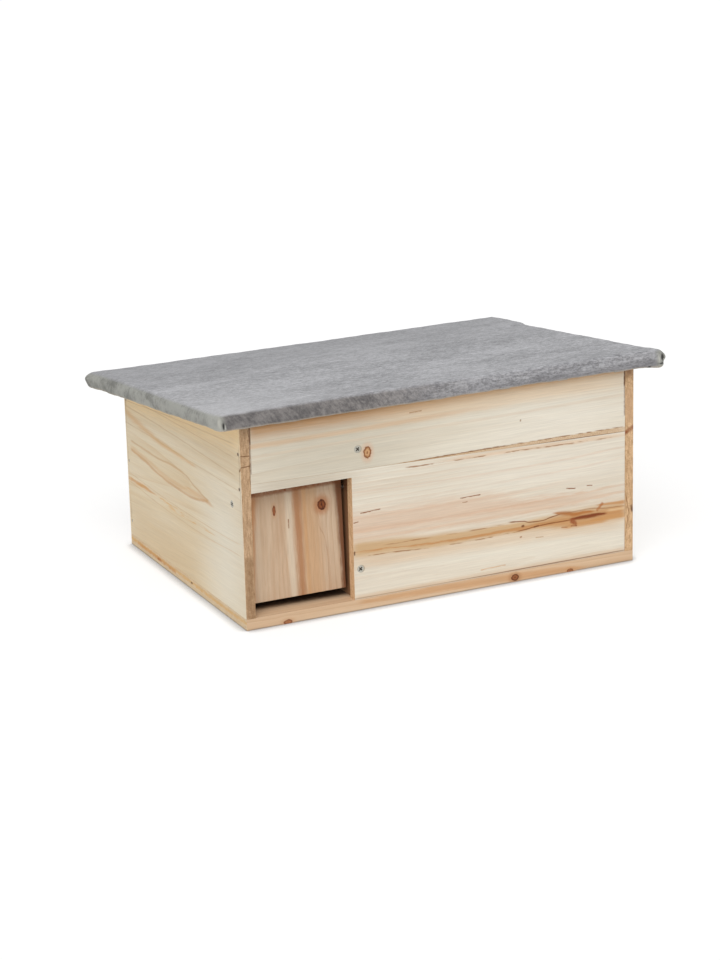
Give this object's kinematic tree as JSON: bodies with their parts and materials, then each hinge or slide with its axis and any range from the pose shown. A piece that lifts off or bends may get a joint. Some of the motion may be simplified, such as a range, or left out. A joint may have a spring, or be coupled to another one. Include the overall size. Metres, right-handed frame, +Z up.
{
  "type": "hedgehog house",
  "caption": "Wooden hedgehog house with a felt-covered sloping roof hinged at the back, a low entrance with a hanging swing flap, and an inner partition that forms a corridor.",
  "frame": {"origin": "on the ground, under the middle of the roof's plan", "axes": "+X along the front towards the right wall, +Y from the front to the back, +Z up"},
  "size_m": [0.46, 0.34, 0.2098],
  "materials": {
    "front_wood": "untreated fir, planed, pale with horizontal grain and a resin streak",
    "side_wood": "untreated fir, sawn, cream yellow",
    "floor_wood": "untreated fir, sawn, pinkish tan",
    "flap_wood": "untreated fir, upright grain, pinkish tan with knots",
    "roof_felt": "grey fibrous roofing felt, matt",
    "zinc_steel": "bright zinc plate"
  },
  "bodies": {
    "house": {"floor_board": "floor_wood", "left_wall": "side_wood", "right_wall": "side_wood", "back_wall": "side_wood", "front_upper_board": "front_wood", "front_lower_board": "front_wood", "partition_wall": "side_wood", "left_pivot_screw": "zinc_steel", "right_pivot_screw": "zinc_steel", "partition_screws": "zinc_steel", "front_corner_nails": "zinc_steel", "back_corner_nails": "zinc_steel", "floor_nails": "zinc_steel", "left_hinge_wall_leaf": "zinc_steel", "right_hinge_wall_leaf": "zinc_steel", "left_hinge_pin": "zinc_steel", "right_hinge_pin": "zinc_steel", "wall_leaf_screws": "zinc_steel"},
    "roof": {"roof_board": "side_wood", "roof_felt": "roof_felt", "felt_staples": "zinc_steel", "left_hinge_roof_leaf": "zinc_steel", "right_hinge_roof_leaf": "zinc_steel", "roof_leaf_screws": "zinc_steel"},
    "flap": {"entrance_flap": "flap_wood"}
  },
  "joints": [
    {"name": "roof_hinge", "type": "hinge", "parent": "house", "child": "roof", "pos_m": [0, 0.143, 0.16444], "axis": [-1, 0, 0], "range_deg": [0, 90]},
    {"name": "flap_swing", "type": "hinge", "parent": "house", "child": "flap", "pos_m": [0, -0.13419, 0.1165], "axis": [1, 0, 0], "range_deg": [-105, 130]}
  ]
}
